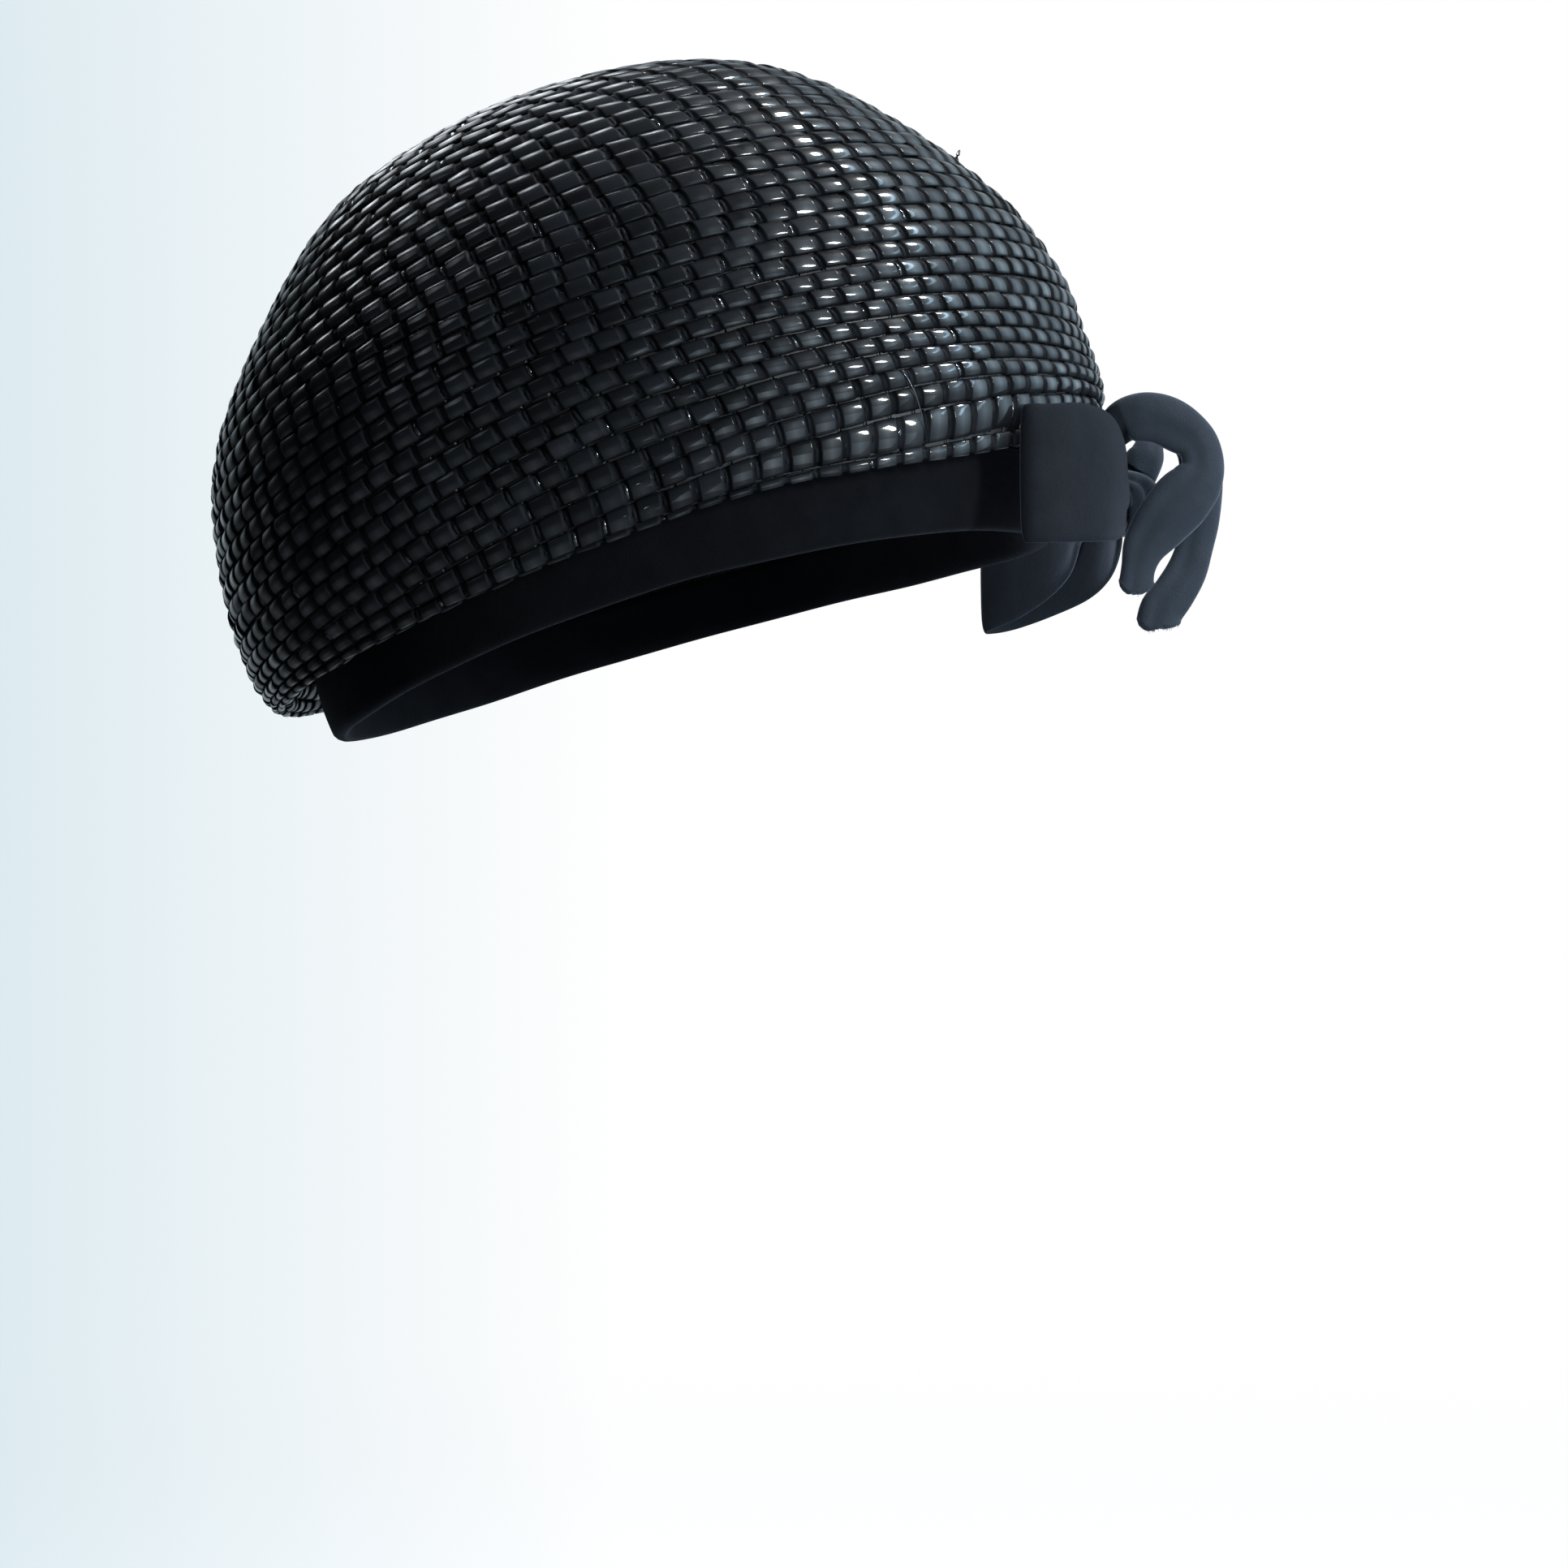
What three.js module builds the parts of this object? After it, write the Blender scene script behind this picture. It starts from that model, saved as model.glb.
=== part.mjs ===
// Bubble toque of woven straw, bound with a velvet band and trimmed with a velvet bow at the front.
// Millimetres, +Z up as worn. The front faces -Y and the wearer's right is -X.
// The origin is the middle of the head opening, in the slanted plane of its rim.
import * as THREE from "three";

// Walls and clearances
const STRAW_WALL = 1.8;
const GAP = 0.3;
const RIBBON_WALL = 1.4;
const BAND_OUTER_LEAF = 1.5;
const BAND_INNER_LEAF = 1.2;
const BAND_FLOOR = 2.0;
const BAND_HEIGHT = 20.5;
const BAND_INNER_HEIGHT = 16;
const BAND_SOFT_BULGE = 0.6;
const BAND_BULGE_SHARE = 0.55;
const STRAW_STAND_SHARE = 0.9;
const BAND_THICKNESS = BAND_OUTER_LEAF + GAP + STRAW_WALL + GAP + BAND_INNER_LEAF;

// Fineness of the facets
const ROUND_STEPS = 52;
const TANGENT_STEP = 0.001;
const BAND_FOLD_STEPS = 4;
const ROW_STEPS = 2;
const LOOP_STEPS = 2;
const TAIL_STEPS = 2;
const TAIL_SIDES = 10;
const LOOP_BREADTHS = 4;

// Ovals of the band's outer face. Each has the reach and height of its front, back and sides.
const RIM = { front: 92.5, frontZ: 25.8, back: 92.5, backZ: -25.8, side: 77, sideZ: 8 };
const BAND_TOP = { front: 94, frontZ: 46.5, back: 97.8, backZ: -6, side: 79.5, sideZ: 28.7 };

// Rows of the crown's outer face, from the shoulder over the band to the tip.
// A cheek dip lets the shoulder down between the front and the sides, by a quarter of it at most.
const CROWN_ROWS = [
  { front: 97.5, frontZ: 49.5, back: 99.3, backZ: -3.6, side: 82, sideZ: 31, cheekDip: 2 },
  { front: 100.5, frontZ: 52.2, back: 102, backZ: -13, side: 84.6, sideZ: 26.2, cheekDip: 14 },
  { front: 103.4, frontZ: 56, back: 105.2, backZ: -18.2, side: 88, sideZ: 22.8, cheekDip: 20 },
  { front: 105.2, frontZ: 61, back: 109.6, backZ: -16.4, side: 91.6, sideZ: 32.5 },
  { front: 104.8, frontZ: 67.5, back: 115.4, backZ: -6.5, side: 94.6, sideZ: 44 },
  { front: 101, frontZ: 78, back: 121.8, backZ: 16, side: 97.4, sideZ: 58.5 },
  { front: 95.6, frontZ: 92.6, back: 123.2, backZ: 45.5, side: 96.8, sideZ: 75.5 },
  { front: 84.5, frontZ: 108.6, back: 111.8, backZ: 78.5, side: 89.6, sideZ: 96 },
  { front: 70, frontZ: 121.4, back: 94.8, backZ: 107.8, side: 77.4, sideZ: 114.4 },
  { front: 54.3, frontZ: 132.4, back: 69.8, backZ: 127.6, side: 60.4, sideZ: 129.6 },
  { front: 39, frontZ: 141, back: 43, backZ: 139.8, side: 41.4, sideZ: 140.6 },
  { front: 22.5, frontZ: 147.2, back: 18.5, backZ: 147, side: 21, sideZ: 147.2 },
];
const CROWN_TIP = { back: -2.5, z: 149.8 };

// Bow knot: a soft block wrapped round the roots of the loops, against the band.
const KNOT = { halfWidth: 7, front: 120.4, back: 94.2, bottom: 28, top: 45.4, pinch: 0.86 };
const KNOT_SLICES = 8;
const KNOT_SIDES = 18;
const KNOT_SQUARENESS = 3.2;

// Each row of a loop is a station along its ribbon, out from the knot, round the fold and back.
// Reach is to the side, forward is ahead of the origin, middle is the ribbon's height above it.
const LOOP_ROWS = [
  { reach: 7.5, forward: 109.4, middle: 35.8, breadth: 12.5, puff: 0.4 },
  { reach: 15, forward: 108, middle: 37, breadth: 20, puff: 1.4 },
  { reach: 27, forward: 105.8, middle: 38.4, breadth: 29, puff: 1.8 },
  { reach: 39, forward: 101.2, middle: 38.4, breadth: 33, puff: 1.6 },
  { reach: 50, forward: 93.4, middle: 37.6, breadth: 34.5, puff: 1 },
  { reach: 59, forward: 85.8, middle: 36.1, breadth: 34, puff: 0.4 },
  { reach: 62.4, forward: 81.3, middle: 35.7, breadth: 34, puff: 0 },
  { reach: 60.6, forward: 80, middle: 35.6, breadth: 33.4, puff: 0 },
  { reach: 52, forward: 88, middle: 36.5, breadth: 32.6, puff: 0 },
  { reach: 40, forward: 95.4, middle: 37.4, breadth: 30, puff: 0 },
  { reach: 27, forward: 99.8, middle: 37.2, breadth: 25, puff: 0 },
  { reach: 15, forward: 101, middle: 36.6, breadth: 17, puff: 0 },
  { reach: 7.5, forward: 100.6, middle: 35.8, breadth: 13, puff: 0 },
];
const LEFT_LOOP_DROOP = 10.5;
const LEFT_LOOP_FULLNESS = 1.03;
const LEFT_LOOP_BULGE = 4.5;
const OUTER_LEAF_ROWS = 6;

// Each row of a tail is a station along its flattened tube, up from the knot, forward and down.
// Size is the share of the tube's full width and depth that it has there.
const TAIL_WIDTH = 13;
const TAIL_DEPTH = 7;
const RIGHT_TAIL_ROWS = [
  { reach: 4.6, forward: 104.2, height: 45.75, twist: 90, size: 0.56 },
  { reach: 5.4, forward: 104.8, height: 48.6, twist: 90, size: 0.58 },
  { reach: 7, forward: 106.2, height: 52.4, twist: 90, size: 0.64 },
  { reach: 9.4, forward: 109.6, height: 56.4, twist: 90, size: 0.86 },
  { reach: 11.2, forward: 114, height: 57.5, twist: 90, size: 1 },
  { reach: 12, forward: 119.2, height: 56.9, twist: 90, size: 1 },
  { reach: 12.4, forward: 124, height: 54.4, twist: 90, size: 0.95 },
  { reach: 12.8, forward: 128.4, height: 50.6, twist: 88, size: 0.82 },
  { reach: 13, forward: 129.8, height: 45, twist: 86, size: 0.86 },
  { reach: 13, forward: 128, height: 40.3, twist: 86, size: 1.08 },
  { reach: 12.8, forward: 124.2, height: 35.8, twist: 88, size: 1.2 },
  { reach: 12.4, forward: 119.1, height: 30, twist: 88, size: 1.08 },
  { reach: 12, forward: 115, height: 24.2, twist: 86, size: 0.86 },
  { reach: 12, forward: 113.2, height: 18.4, twist: 84, size: 0.68 },
  { reach: 12, forward: 112.5, height: 12.4, twist: 82, size: 0.74 },
];
const LEFT_TAIL_ROWS = [
  { reach: 4.2, forward: 114.8, height: 45.4, twist: 90, size: 0.86 },
  { reach: 4.8, forward: 117.4, height: 49.6, twist: 90, size: 0.72 },
  { reach: 6, forward: 118.7, height: 53.4, twist: 90, size: 0.56 },
  { reach: 8, forward: 120.6, height: 57, twist: 90, size: 0.7 },
  { reach: 10, forward: 124, height: 58.9, twist: 90, size: 0.85 },
  { reach: 11.6, forward: 128.8, height: 57.6, twist: 90, size: 0.88 },
  { reach: 12.4, forward: 132, height: 52.8, twist: 90, size: 0.84 },
  { reach: 12.8, forward: 133, height: 46.4, twist: 90, size: 0.84 },
  { reach: 13, forward: 133, height: 40, twist: 90, size: 0.84 },
  { reach: 13, forward: 132.5, height: 33.4, twist: 90, size: 0.8 },
  { reach: 13, forward: 131.1, height: 27, twist: 90, size: 0.76 },
  { reach: 12.8, forward: 128.9, height: 20.6, twist: 88, size: 0.8 },
  { reach: 12.4, forward: 125.5, height: 14.8, twist: 86, size: 0.84 },
  { reach: 12.1, forward: 122.4, height: 10.6, twist: 84, size: 0.9 },
  { reach: 12, forward: 121.3, height: 7.2, twist: 84, size: 0.92 },
];

const STRAW_FINISH = new THREE.MeshStandardMaterial({ color: 0x15181c, roughness: 0.22, metalness: 0 });
const VELVET_FINISH = new THREE.MeshStandardMaterial({ color: 0x0b0b0f, roughness: 0.95, metalness: 0 });

const UP = new THREE.Vector3(0, 0, 1);

// A point of an oval. Angle 0 is the front and a quarter turn is the wearer's right side.
function ovalPoint(oval, angle) {
  const along = Math.cos(angle);
  const across = Math.sin(angle);
  const middleZ = (oval.frontZ + oval.backZ) / 2;
  const dip = (oval.cheekDip ?? 0) * (Math.max(along, 0) * across) ** 2;
  return new THREE.Vector3(
    -oval.side * across,
    (oval.back - oval.front) / 2 - ((oval.front + oval.back) / 2) * along,
    middleZ + ((oval.frontZ - oval.backZ) / 2) * along + (oval.sideZ - middleZ) * across * across - dip,
  );
}

// The band's own directions at one angle: its foot on the rim, outward, and up along its face.
function bandFrame(angle) {
  const foot = ovalPoint(RIM, angle);
  const up = ovalPoint(BAND_TOP, angle).sub(foot).normalize();
  const along = ovalPoint(RIM, angle + TANGENT_STEP).sub(ovalPoint(RIM, angle - TANGENT_STEP)).normalize();
  const out = new THREE.Vector3().crossVectors(up, along).normalize();
  if (out.x * foot.x + out.y * foot.y < 0) out.negate();
  return { foot, out, up };
}

function bandPoint(frame, out, up) {
  return frame.foot.clone().addScaledVector(frame.out, out).addScaledVector(frame.up, up);
}

// Signed volume of a triangle mesh, used to turn every face outward.
function signedVolume(points, faces) {
  let volume = 0;
  for (const [a, b, c] of faces) {
    volume += points[a].dot(new THREE.Vector3().crossVectors(points[b], points[c])) / 6;
  }
  return volume;
}

// Skins a run of rings with equal counts. A looped run joins its last ring to its first.
// An open run is closed at each end by a fan to the given tip, or to the end ring's middle.
function skin(rings, { looped = false, tips = [null, null] } = {}) {
  const count = rings[0].length;
  const points = rings.flat();
  const faces = [];
  const joints = looped ? rings.length : rings.length - 1;
  for (let ring = 0; ring < joints; ring += 1) {
    const here = ring * count;
    const there = ((ring + 1) % rings.length) * count;
    for (let side = 0; side < count; side += 1) {
      const next = (side + 1) % count;
      faces.push([here + side, here + next, there + next]);
      faces.push([here + side, there + next, there + side]);
    }
  }
  if (!looped) {
    [0, rings.length - 1].forEach((ring, end) => {
      const middle = new THREE.Vector3();
      rings[ring].forEach((point) => middle.addScaledVector(point, 1 / count));
      const tip = points.push(tips[end] ?? middle) - 1;
      const start = ring * count;
      for (let side = 0; side < count; side += 1) {
        const next = (side + 1) % count;
        faces.push(end === 0 ? [start + next, start + side, tip] : [start + side, start + next, tip]);
      }
    });
  }
  if (signedVolume(points, faces) < 0) faces.forEach((face) => face.reverse());
  const geometry = new THREE.BufferGeometry().setFromPoints(points);
  geometry.setIndex(faces.flat());
  geometry.computeVertexNormals();
  return geometry;
}

function named(name, geometry, material) {
  const mesh = new THREE.Mesh(geometry, material);
  mesh.name = name;
  return mesh;
}

// Crown: one straw wall from its bound edge inside the band, out over the band and up to the tip.
function crownGeometry() {
  const straw = -(BAND_OUTER_LEAF + GAP);
  const stand = [BAND_FLOOR + GAP, BAND_HEIGHT * STRAW_STAND_SHARE, BAND_HEIGHT + GAP];
  const tip = new THREE.Vector3(0, CROWN_TIP.back, CROWN_TIP.z);
  const meridians = [];
  for (let step = 0; step < ROUND_STEPS; step += 1) {
    const angle = (step / ROUND_STEPS) * 2 * Math.PI;
    const frame = bandFrame(angle);
    const knots = stand.map((up) => bandPoint(frame, straw, up));
    CROWN_ROWS.forEach((row) => knots.push(ovalPoint(row, angle)));
    const curve = new THREE.CatmullRomCurve3([...knots, tip], false, "centripetal");
    const pieces = knots.length * ROW_STEPS;
    const line = [];
    for (let piece = 0; piece < pieces; piece += 1) line.push(curve.getPoint(piece / pieces));
    meridians.push(line);
  }
  const rows = meridians[0].length;
  const outer = [];
  const inner = [];
  for (let row = 0; row < rows; row += 1) {
    outer.push(meridians.map((line) => line[row]));
    inner.push(meridians.map((line, step) => {
      const before = meridians[(step + ROUND_STEPS - 1) % ROUND_STEPS][row];
      const after = meridians[(step + 1) % ROUND_STEPS][row];
      const along = after.clone().sub(before);
      const upward = line[Math.min(row + 1, rows - 1)].clone().sub(line[Math.max(row - 1, 0)]);
      const inward = new THREE.Vector3().crossVectors(along, upward).normalize();
      return line[row].clone().addScaledVector(inward, STRAW_WALL);
    }));
  }
  const innerTip = tip.clone().addScaledVector(UP, -STRAW_WALL);
  return skin([...inner.reverse(), ...outer], { tips: [innerTip, tip] });
}

// Band: a velvet strip folded round the straw's edge, as one channel section swept round the rim.
function bandGeometry() {
  const foldRadius = BAND_THICKNESS / 2;
  const section = [[0, BAND_HEIGHT], [BAND_SOFT_BULGE, BAND_HEIGHT * BAND_BULGE_SHARE]];
  for (let step = 0; step <= BAND_FOLD_STEPS; step += 1) {
    const turn = -Math.PI * (step / BAND_FOLD_STEPS);
    section.push([-foldRadius + foldRadius * Math.cos(turn), foldRadius + foldRadius * Math.sin(turn)]);
  }
  section.push([-BAND_THICKNESS, BAND_INNER_HEIGHT]);
  section.push([-BAND_THICKNESS + BAND_INNER_LEAF, BAND_INNER_HEIGHT]);
  section.push([-BAND_THICKNESS + BAND_INNER_LEAF, BAND_FLOOR]);
  section.push([-BAND_OUTER_LEAF, BAND_FLOOR]);
  section.push([-BAND_OUTER_LEAF, BAND_HEIGHT]);
  const rings = [];
  for (let step = 0; step < ROUND_STEPS; step += 1) {
    const frame = bandFrame((step / ROUND_STEPS) * 2 * Math.PI);
    rings.push(section.map(([out, up]) => bandPoint(frame, out, up)));
  }
  return skin(rings, { looped: true });
}

// Knot: a soft block with rounded corners, fullest in the middle of its width.
function knotGeometry() {
  const middleY = -(KNOT.front + KNOT.back) / 2;
  const middleZ = (KNOT.bottom + KNOT.top) / 2;
  const halfDepth = (KNOT.front - KNOT.back) / 2;
  const halfHeight = (KNOT.top - KNOT.bottom) / 2;
  const rings = [];
  for (let slice = 0; slice <= KNOT_SLICES; slice += 1) {
    const across = -1 + (2 * slice) / KNOT_SLICES;
    const fullness = KNOT.pinch + (1 - KNOT.pinch) * (1 - across * across);
    const ring = [];
    for (let side = 0; side < KNOT_SIDES; side += 1) {
      const turn = (side / KNOT_SIDES) * 2 * Math.PI;
      const size = (Math.abs(Math.cos(turn)) ** KNOT_SQUARENESS
        + Math.abs(Math.sin(turn)) ** KNOT_SQUARENESS) ** (-1 / KNOT_SQUARENESS);
      ring.push(new THREE.Vector3(
        KNOT.halfWidth * across,
        middleY + halfDepth * fullness * size * Math.cos(turn),
        middleZ + halfHeight * fullness * size * Math.sin(turn),
      ));
    }
    rings.push(ring);
  }
  return skin(rings);
}

// Smooth run of values through a table's rows, with each column carried along a spline.
function smoothRows(rows, columns, steps) {
  const pairs = columns.map((column) => new THREE.SplineCurve(
    rows.map((row, place) => new THREE.Vector2(place, row[column])),
  ));
  const pieces = (rows.length - 1) * steps;
  const run = [];
  for (let piece = 0; piece <= pieces; piece += 1) {
    const values = {};
    columns.forEach((column, place) => {
      values[column] = pairs[place].getPoint(piece / pieces).y;
    });
    run.push(values);
  }
  return run;
}

// Loop: a ribbon led out from the knot, round a fold and back, puffed on its outer leaf.
// Droop lowers it towards the fold, and bulge stands its outer leaf forward.
function loopGeometry(hand, droop, fullness, bulge) {
  const columns = ["reach", "forward", "middle", "breadth", "puff"];
  const run = smoothRows(LOOP_ROWS, columns, LOOP_STEPS);
  const farthest = Math.max(...LOOP_ROWS.map((row) => row.reach));
  const places = run.map((row, index) => new THREE.Vector3(
    hand * row.reach,
    -row.forward - bulge * Math.sin(Math.PI * Math.min(1, index / (OUTER_LEAF_ROWS * LOOP_STEPS))),
    row.middle - droop * (row.reach - LOOP_ROWS[0].reach) / farthest,
  ));
  const rings = run.map((row, index) => {
    const ahead = places[Math.min(index + 1, places.length - 1)];
    const behind = places[Math.max(index - 1, 0)];
    const along = ahead.clone().sub(behind).normalize();
    const face = new THREE.Vector3().crossVectors(along, UP).multiplyScalar(hand).normalize();
    const outside = [];
    const inside = [];
    for (let part = 0; part <= LOOP_BREADTHS; part += 1) {
      const across = -1 + (2 * part) / LOOP_BREADTHS;
      const swell = row.puff * (1 - across * across);
      const level = places[index].clone().addScaledVector(UP, across * fullness * row.breadth / 2);
      outside.push(level.clone().addScaledVector(face, swell + RIBBON_WALL / 2));
      inside.push(level.clone().addScaledVector(face, swell - RIBBON_WALL / 2));
    }
    return [...outside, ...inside.reverse()];
  });
  return skin(rings);
}

// Tail: a flattened tube along its rows, turned about its own line by each row's twist.
function tailGeometry(rows, hand) {
  const columns = ["reach", "forward", "height", "twist", "size"];
  const run = smoothRows(rows, columns, TAIL_STEPS);
  const places = run.map((row) => new THREE.Vector3(hand * row.reach, -row.forward, row.height));
  const rings = run.map((row, index) => {
    const ahead = places[Math.min(index + 1, places.length - 1)];
    const behind = places[Math.max(index - 1, 0)];
    const along = ahead.clone().sub(behind).normalize();
    const broad = new THREE.Vector3(1, 0, 0).addScaledVector(along, -along.x).normalize();
    broad.applyAxisAngle(along, THREE.MathUtils.degToRad(row.twist));
    const thin = new THREE.Vector3().crossVectors(along, broad);
    const ring = [];
    for (let side = 0; side < TAIL_SIDES; side += 1) {
      const turn = (side / TAIL_SIDES) * 2 * Math.PI;
      ring.push(places[index].clone()
        .addScaledVector(broad, (TAIL_WIDTH / 2) * row.size * Math.cos(turn))
        .addScaledVector(thin, (TAIL_DEPTH / 2) * row.size * Math.sin(turn)));
    }
    return ring;
  });
  return skin(rings);
}

const RIGHT = -1;
const LEFT = 1;

const hat = new THREE.Group();
hat.add(named("crown", crownGeometry(), STRAW_FINISH));
hat.add(named("band", bandGeometry(), VELVET_FINISH));

const bow = new THREE.Group();
bow.add(named("bow_knot", knotGeometry(), VELVET_FINISH));
bow.add(named("bow_loop_right", loopGeometry(RIGHT, 0, 1, 0), VELVET_FINISH));
const leftLoop = loopGeometry(LEFT, LEFT_LOOP_DROOP, LEFT_LOOP_FULLNESS, LEFT_LOOP_BULGE);
bow.add(named("bow_loop_left", leftLoop, VELVET_FINISH));
bow.add(named("bow_tail_right", tailGeometry(RIGHT_TAIL_ROWS, RIGHT), VELVET_FINISH));
bow.add(named("bow_tail_left", tailGeometry(LEFT_TAIL_ROWS, LEFT), VELVET_FINISH));
hat.add(bow);

export default hat;
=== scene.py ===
# Bubble hat: a dome of glossy woven straw, bound with a velvet band and trimmed with a velvet bow.
import math

import bpy
import numpy as np
from mathutils import Matrix, Vector


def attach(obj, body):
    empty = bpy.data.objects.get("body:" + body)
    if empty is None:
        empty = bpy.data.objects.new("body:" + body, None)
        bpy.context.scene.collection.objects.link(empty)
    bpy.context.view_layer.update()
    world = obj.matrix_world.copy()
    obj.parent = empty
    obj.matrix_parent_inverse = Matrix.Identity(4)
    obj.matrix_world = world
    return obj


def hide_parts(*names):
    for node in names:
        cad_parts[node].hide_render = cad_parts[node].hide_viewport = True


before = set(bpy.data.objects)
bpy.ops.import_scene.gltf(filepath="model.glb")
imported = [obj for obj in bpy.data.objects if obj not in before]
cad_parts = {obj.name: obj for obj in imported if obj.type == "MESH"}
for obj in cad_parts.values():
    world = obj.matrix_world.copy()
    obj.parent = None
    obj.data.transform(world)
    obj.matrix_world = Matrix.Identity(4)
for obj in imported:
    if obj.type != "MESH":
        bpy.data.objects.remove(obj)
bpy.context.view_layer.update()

MM = 0.001
FULL_TURN = 2 * math.pi
SEED = 1957
TINY = 1e-12
UP = np.array((0, 0, 1))
ASIDE = np.array((1, 0, 0))
QUARTER_TURNS = (0, FULL_TURN / 4, FULL_TURN / 2, 3 * FULL_TURN / 4)
random = np.random.default_rng(SEED)

# Camera, in metres. The eye is a little below the rim and looks at the wearer's right side.
IMAGE_PIXELS = 1932
FOCAL_PIXELS = 4531
SENSOR_MM = 36
EYE = (-0.9455, 0.0, -0.0927)
LOOK = (0.99793, -0.02410, 0.05957)

# Stage, in metres, with the tones of the floor, of the backdrop and of the room that the hat reflects
HAT_MIDDLE = (0, 0, 0.06)
BOW_MIDDLE = (0, -0.115, 0.028)
FLOOR_HEIGHT = -0.40
FLOOR_RADIUS = 4.0
FLOOR_SIDES = 96
FLOOR_FADE = (0.3, 2.4)
FLOOR_CLEARNESS = (0.85, 1.0)
FLOOR_TONES = ((0.86, 0.88, 0.90, 1), (0.90, 0.92, 0.94, 1))
BACKDROP_PALE = (0.70, 0.81, 0.86, 1)
BACKDROP_WHITE = (1.0, 1.0, 1.0, 1)
ROOM_DARK = (0.020, 0.022, 0.026, 1)
ROOM_FRONT = (1.6, 2.15, 2.55, 1)
ROOM_BEYOND = (0.50, 0.60, 0.66, 1)
WARM_WHITE = (1.0, 0.99, 0.97)
LIGHT_DISTANCE = 1.8

# Tones of the straw, of the wall behind it, and of the velvet: plain, and lighter with painted light on the
# bow
STRAW_DARK = (0.0035, 0.004, 0.005, 1)
STRAW_LIGHT = (0.011, 0.0125, 0.015, 1)
WALL_LIGHT = (0.008, 0.0085, 0.0095, 1)
WALL_DARK = (0.004, 0.0043, 0.005, 1)
WALL_GAP = (0.002, 0.002, 0.0025, 1)
PLAIN_VELVET_DARK = (0.0022, 0.0024, 0.003, 1)
PLAIN_VELVET_LIGHT = (0.006, 0.0065, 0.008, 1)
# Painted light: these lighter velvet tones stand in for the glare and light that fall on the bow
PAINTED_LIGHT_VELVET_DARK = (0.017, 0.0212, 0.0276, 1)
PAINTED_LIGHT_VELVET_LIGHT = (0.032, 0.0395, 0.050, 1)
SHEEN_TINT = (0.55, 0.62, 0.78, 1)

# Ovals of the straw, in millimetres, from its edge inside the band, over the shoulder, to the tip.
# Columns: front reach, front height, back reach, back height, side reach, side height, and cheek dip,
# which lets the shoulder down between the front and the sides, by a quarter of it at most.
STRAW_ROWS = np.array([
    (90.7, 28.1, 90.7, -23.5, 75.2, 10.3, 0),
    (92.2, 46.8, 96.0, -5.7, 77.7, 29.0, 0),
    (97.5, 49.5, 99.3, -3.6, 82.0, 31.0, 2),
    (100.5, 52.2, 102.0, -13.0, 84.6, 26.2, 14),
    (103.4, 56.0, 105.2, -18.2, 88.0, 22.8, 20),
    (105.2, 61.0, 109.6, -16.4, 91.6, 32.5, 0),
    (104.8, 67.5, 115.4, -6.5, 94.6, 44.0, 0),
    (101.0, 78.0, 121.8, 16.0, 97.4, 58.5, 0),
    (95.6, 92.6, 123.2, 45.5, 96.8, 75.5, 0),
    (84.5, 108.6, 111.8, 78.5, 89.6, 96.0, 0),
    (70.0, 121.4, 94.8, 107.8, 77.4, 114.4, 0),
    (54.3, 132.4, 69.8, 127.6, 60.4, 129.6, 0),
    (39.0, 141.0, 43.0, 139.8, 41.4, 140.6, 0),
    (22.5, 147.2, 18.5, 147.0, 21.0, 147.2, 0),
    (2.5, 149.8, -2.5, 149.8, 0.0, 149.8, 0),
])
# The band's foot and top, in the same columns
BAND_ROWS = np.array([
    (92.5, 25.8, 92.5, -25.8, 77.0, 8.0, 0),
    (94.0, 46.5, 97.8, -6.0, 79.5, 28.7, 0),
])

# Weave of the straw. Lengths and heights are in millimetres, the heights over the straw's outer face. The
# rest are shares of a course's height or of a float's length.
COURSES = 36
STRAW_PIECES = ("straw_courses_lower", "straw_courses_middle", "straw_courses_upper")
STRAW_CUTS = (0, 10, 20, COURSES)
# The weave's length is the mean one from the top down to the foot of the courses. The low ones go on below
# it, and the table of lengths starts at the first place, a fractional row of the ovals above.
WEAVE_LENGTH = 202.2
LOW_COURSES = 1
FIRST_COURSE_PLACE = 1.35
REACH_STEPS = 3000
GIRTH_STEPS = 181
LAST_COURSE_SHARE = 0.998
COURSE_GROWTH = 0.25
WEAVE_TIP_SHIFT = 58
COURSE_OFFSET = 1 / 3
LOWEST_FLOAT_LENGTH = 6.8
FLOAT_LENGTH_GAIN = 2.4
FEWEST_FLOATS = 6
FLOAT_STATIONS = np.array([0, 0.08, 0.115, 0.14, 0.19, 0.5, 0.81, 0.86, 0.885, 0.92])
FLOAT_RISE = np.array([0, 0.06, 0.55, 0.92, 0.99, 1, 0.99, 0.92, 0.55, 0.06])
LACQUER_FROM = 0.985
DULLEST_FLOAT = 0.4
NOTCH_DEPTH = 0.6
NOTCH_BREADTH = 0.93
# Across a strip: share of its half breadth, fall from its crest, and how much lacquer shows there.
STRIP_SECTION = (
    (-1, 1.7, 0), (-0.97, 0.94, 0.35), (-0.68, 0.46, 0.9), (-0.34, 0.12, 1), (0, 0, 1),
    (0.34, 0.12, 1), (0.68, 0.46, 0.9), (0.97, 0.94, 0.35), (1, 1.7, 0), (0, 2.4, 0),
)
STRIP_HALF_BREADTH = 0.475
STRIP_ROUNDNESS = 0.75
CREST = 0.3
TILT_SPREAD = 0.2
LEAN_SPREAD = 0.15
LIFT_SPREAD = 0.06
SHIFT_SPREAD = 0.03
COURSE_SWAY = 0.04
COURSE_WAVES = (3, 5, 8, 13)
WAVE_STRENGTHS = (0.4, 1)
GLOSSY_WARPS = 0.12
WARP_HALF_WIDTH = 0.55
WARP_CREST = -0.1
WARP_CREST_SPREAD = 0.1
WARP_FALL = 1.8
WARP_LEAN = 0.25
WARP_OVERLAP = 1.1
WARP_STAGES = np.linspace(-0.5, 0.5, 5)
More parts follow.
